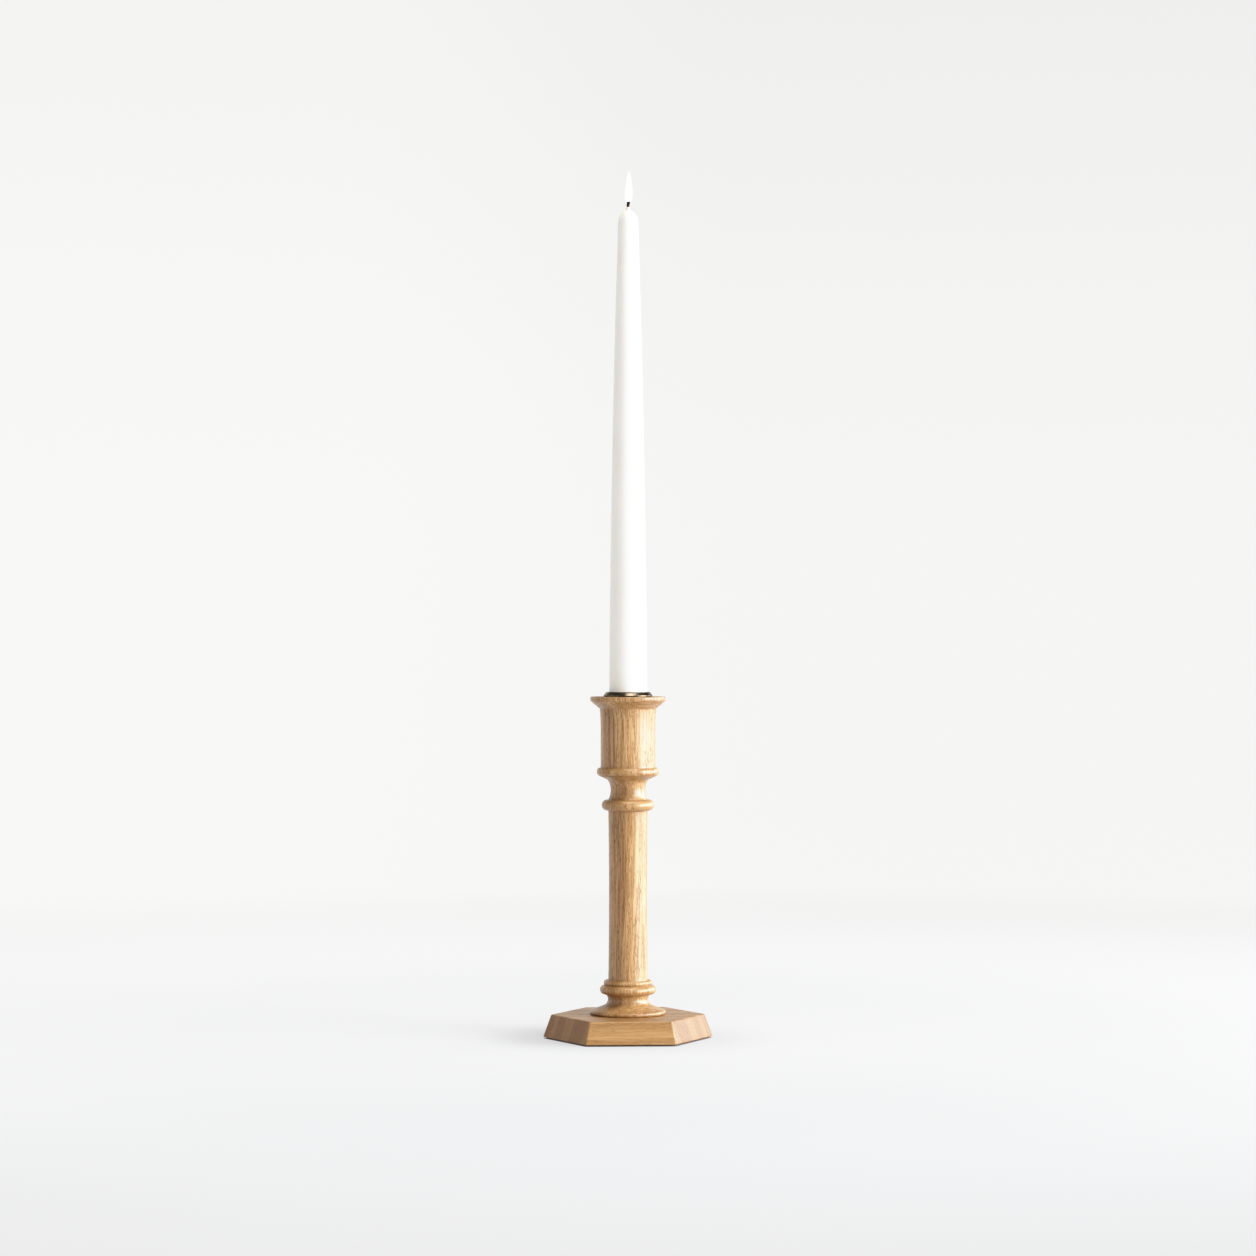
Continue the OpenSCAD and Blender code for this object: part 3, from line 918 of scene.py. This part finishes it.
# The light that the flame gives, in watts, and how high up the flame it comes from
LAMP_POWER = 0.005
LAMP_COLOUR = (1.0, 0.72, 0.42)
LAMP_RADIUS = 2.5 * MM
LAMP_PLACE = 0.35


def make_flame():
    """The flame over the wick. It isn't matter, but it follows the candle."""
    wick_top = span("candle_wick")[1].z
    foot, tall = wick_top + FLAME_FOOT, FLAME_TALL
    outline = []
    for i in range(FLAME_ROWS + 1):
        t = i / FLAME_ROWS
        r = FLAME_WIDE * math.sqrt(max(0.0, math.sin(math.pi * t ** 0.62))) * (1 - 0.35 * t)
        outline.append((r, foot + tall * t))
    outline[0], outline[-1] = (0.0, foot), (0.0, foot + tall)
    obj, _ = revolve("flame", outline, around=48)
    for v in obj.data.vertices:
        rise = (v.co.z - foot) / tall
        v.co.x += FLAME_ASIDE + FLAME_LEAN * rise
    obj.data.materials.append(flame_light("flame light"))
    obj.visible_shadow = False
    obj.parent = frame["bodies"]["candle"]

    lamp = bpy.data.lights.new("flame lamp", "POINT")
    lamp.energy = LAMP_POWER
    lamp.color = LAMP_COLOUR
    lamp.shadow_soft_size = LAMP_RADIUS
    lamp_obj = bpy.data.objects.new("flame lamp", lamp)
    lamp_obj.location = (0.3 * MM, 0, foot + LAMP_PLACE * tall)
    lamp_obj.parent = frame["bodies"]["candle"]
    bpy.context.scene.collection.objects.link(lamp_obj)


# The sweep: where its floor starts to curve up, where it stands upright, and how high it goes
SWEEP_FLAT = 2.4
SWEEP_WALL = 3.8
SWEEP_TOP = 2.4
SWEEP_STEPS = 16
SWEEP_COLOUR = (1.0, 0.995, 0.984, 1.0)
PAPER_NEAR = (0.36, 0.36, 0.36)
PAPER_FAR = (0.012, 0.012, 0.012)
# How the paper's glow changes between two places, in metres: from, to, and the level at each. Near and
# far go out from the middle, high up the wall, front towards -Y and side to the right.
# Near is a painted shadow: the paper glows less close to the plinth
GLOW_NEAR = (0.034, 0.10, 0.375, 0.50)
GLOW_FAR = (0.22, 1.24, 0.0, 0.50)
GLOW_HIGH = (0.3, 1.5, 0.0, 0.10)
GLOW_FRONT = (-0.02, -0.62, 0.0, 0.17)
GLOW_SIDE = (-0.35, 0.35, 0.03, -0.03)
# The share of the glow left under the plinth, a painted shadow, and how far in from its edge and out past it
# that changes
UNDER_LEFT = 0.1
UNDER_IN = 0.6 * MM
UNDER_OUT = 0.2 * MM


def plinth_shade(s, x, y):
    """The share of the floor's glow that is left, a painted shadow: little under the plinth, all of it
    outside.
    """
    corners = plan_corners("base", plinth_levels()[1])
    tip = max(corners, key=lambda q: q.x)
    front = max((q for q in corners if q.y > MM), key=lambda q: q.x)
    # measures front.y all along the slanted side, as y does along the front one
    side = Vector((front.y, tip.x - front.x)) / tip.x
    x, y = s.calc("ABSOLUTE", x), s.calc("ABSOLUTE", y)
    slant = s.calc("MULTIPLY_ADD", x, side.x, s.calc("MULTIPLY", y, side.y))
    out = s.calc("MAXIMUM", y, slant)
    return s.fade(out, front.y - UNDER_IN, front.y + UNDER_OUT, UNDER_LEFT, 1.0)


def backdrop_material():
    """Pale paper that glows by itself, as a lit studio sweep does. It reflects less and glows more with
    distance, so it looks the same from every side, and it glows least under and close to the plinth, a
    painted shadow there."""
    s = Shade("pale sweep")
    x, y, z = s.split(s.add("ShaderNodeTexCoord").outputs["Object"])
    away = s.calc("SQRT", s.calc("ADD", s.calc("MULTIPLY", x, x), s.calc("MULTIPLY", y, y)))
    near, far = s.fade(away, *GLOW_NEAR), s.fade(away, *GLOW_FAR)
    high, front, side = s.fade(z, *GLOW_HIGH), s.fade(y, *GLOW_FRONT), s.fade(x, *GLOW_SIDE)
    glow = s.calc("SUBTRACT", s.calc("SUBTRACT", s.calc("ADD", near, far), high), front)
    glow = s.calc("ADD", glow, side)
    glow = s.calc("MULTIPLY", glow, plinth_shade(s, x, y))
    paper = s.mix(s.fade(away, 0.4, 1.1), PAPER_NEAR, PAPER_FAR)
    return s.surface(Base_Color=paper, Roughness=0.6, Specular_IOR_Level=0.0,
                     Emission_Color=SWEEP_COLOUR, Emission_Strength=glow)


def make_sweep():
    """A round sweep: a flat floor that curves up into a wall on every side."""
    curve = SWEEP_WALL - SWEEP_FLAT
    outline = [(0.0, 0.0), (0.3, 0.0), (0.8, 0.0), (SWEEP_FLAT, 0.0)]
    for i in range(1, SWEEP_STEPS + 1):
        angle = math.pi / 2 * i / SWEEP_STEPS
        outline.append((SWEEP_FLAT + curve * math.sin(angle), curve * (1 - math.cos(angle))))
    outline.append((SWEEP_WALL, SWEEP_TOP))
    obj, _ = revolve("sweep", outline, around=96)
    obj.data.materials.append(backdrop_material())


# Softboxes: name, azimuth (0 is the camera's side, 90 is to the right), elevation, distance in metres,
# width and height in metres, and power in watts
LIGHTS = (("key", 70, 9.5, 2.3, 1.8, 0.8, 93),
          ("rim", 116, 11, 2.7, 1.0, 1.1, 40),
          ("high", 30, 66, 2.5, 1.4, 1.0, 40))
LIGHT_COLOUR = (0.97, 1.0, 1.06)
LIGHT_AIM = 0.18
STUDIO_COLOUR = (1.0, 0.98, 0.92, 1)
STUDIO_STRENGTH = 0.15


def softbox(name, azimuth, elevation, distance, width, height, power):
    """A rectangular light that the camera doesn't see, turned to the middle of the holder."""
    light = bpy.data.lights.new(name, "AREA")
    light.shape = "RECTANGLE"
    light.size, light.size_y = width, height
    light.energy = power
    light.color = LIGHT_COLOUR
    obj = bpy.data.objects.new(name, light)
    az, el = math.radians(azimuth), math.radians(elevation)
    away = Vector((math.sin(az) * math.cos(el), -math.cos(az) * math.cos(el), math.sin(el)))
    obj.location = Vector((0, 0, LIGHT_AIM)) + away * distance
    obj.rotation_euler = away.to_track_quat("Z", "Y").to_euler()
    obj.visible_camera = False
    bpy.context.scene.collection.objects.link(obj)


def make_lights():
    """A wide low softbox on the right, one behind it, one high up, and a dim warm studio all round."""
    for light in LIGHTS:
        softbox(*light)
    world = bpy.data.worlds.new("studio")
    world.use_nodes = True
    glow = world.node_tree.nodes["Background"].inputs
    glow["Color"].default_value = STUDIO_COLOUR
    glow["Strength"].default_value = STUDIO_STRENGTH
    bpy.context.scene.world = world


# The tone curve: brightness in the scene, and how bright it is shown
TONES = ((0.0, 0.0), (0.05, 0.040), (0.2, 0.185), (0.5, 0.505), (0.7, 0.72), (0.85, 0.84), (1.0, 0.925),
         (1.2, 0.975), (1.6, 1.0))
CAMERA_HEIGHT = 0.2404
CAMERA_DISTANCE = 2.046
CAMERA_AZIMUTH = math.radians(-2.3)
CAMERA_LENS = 100
CAMERA_SENSOR = 36


def make_camera():
    """A long lens, level, at about half the candle's height and a touch to the left."""
    data = bpy.data.cameras.new("camera")
    data.lens = CAMERA_LENS
    data.sensor_width = CAMERA_SENSOR
    obj = bpy.data.objects.new("camera", data)
    obj.location = (CAMERA_DISTANCE * math.sin(CAMERA_AZIMUTH), -CAMERA_DISTANCE * math.cos(CAMERA_AZIMUTH),
                    CAMERA_HEIGHT)
    obj.rotation_euler = (math.pi / 2, 0, CAMERA_AZIMUTH)
    bpy.context.scene.collection.objects.link(obj)
    bpy.context.scene.camera = obj


def set_tones():
    """The tones of a photograph: a slight toe in the darks and a soft shoulder in the lights."""
    view = bpy.context.scene.view_settings
    view.view_transform = "Standard"
    view.use_curve_mapping = True
    mapping = view.curve_mapping
    mapping.clip_max_x = TONES[-1][0]
    curve = mapping.curves[3]
    for i, (bright, shown) in enumerate(TONES):
        if i < len(curve.points):
            curve.points[i].location = (bright, shown)
        else:
            curve.points.new(bright, shown)
    mapping.update()


# ---------------------------------------------------------------- the whole scene

make_camera()
make_lights()
make_sweep()

make_plinth(oak("oak of the plinth", **PLINTH_BOARD))
make_column(oak("oak of the column", **COLUMN_BOARD))
make_cup(bronze("dark bronze"))
make_screw("steel_screw", "base_screw", plain_metal("zinc steel", *ZINC), "screw_steel", False)
make_screw("brass_screw", "cup_screw", plain_metal("screw brass", *BRASS), "screw_brass", True)
make_pads(felt("dark felt"))
make_wax(wax("candle wax", span("candle_wax")[1].z))
make_wick(cotton("cotton wick", span("candle_wax")[1].z))
make_flame()

set_tones()
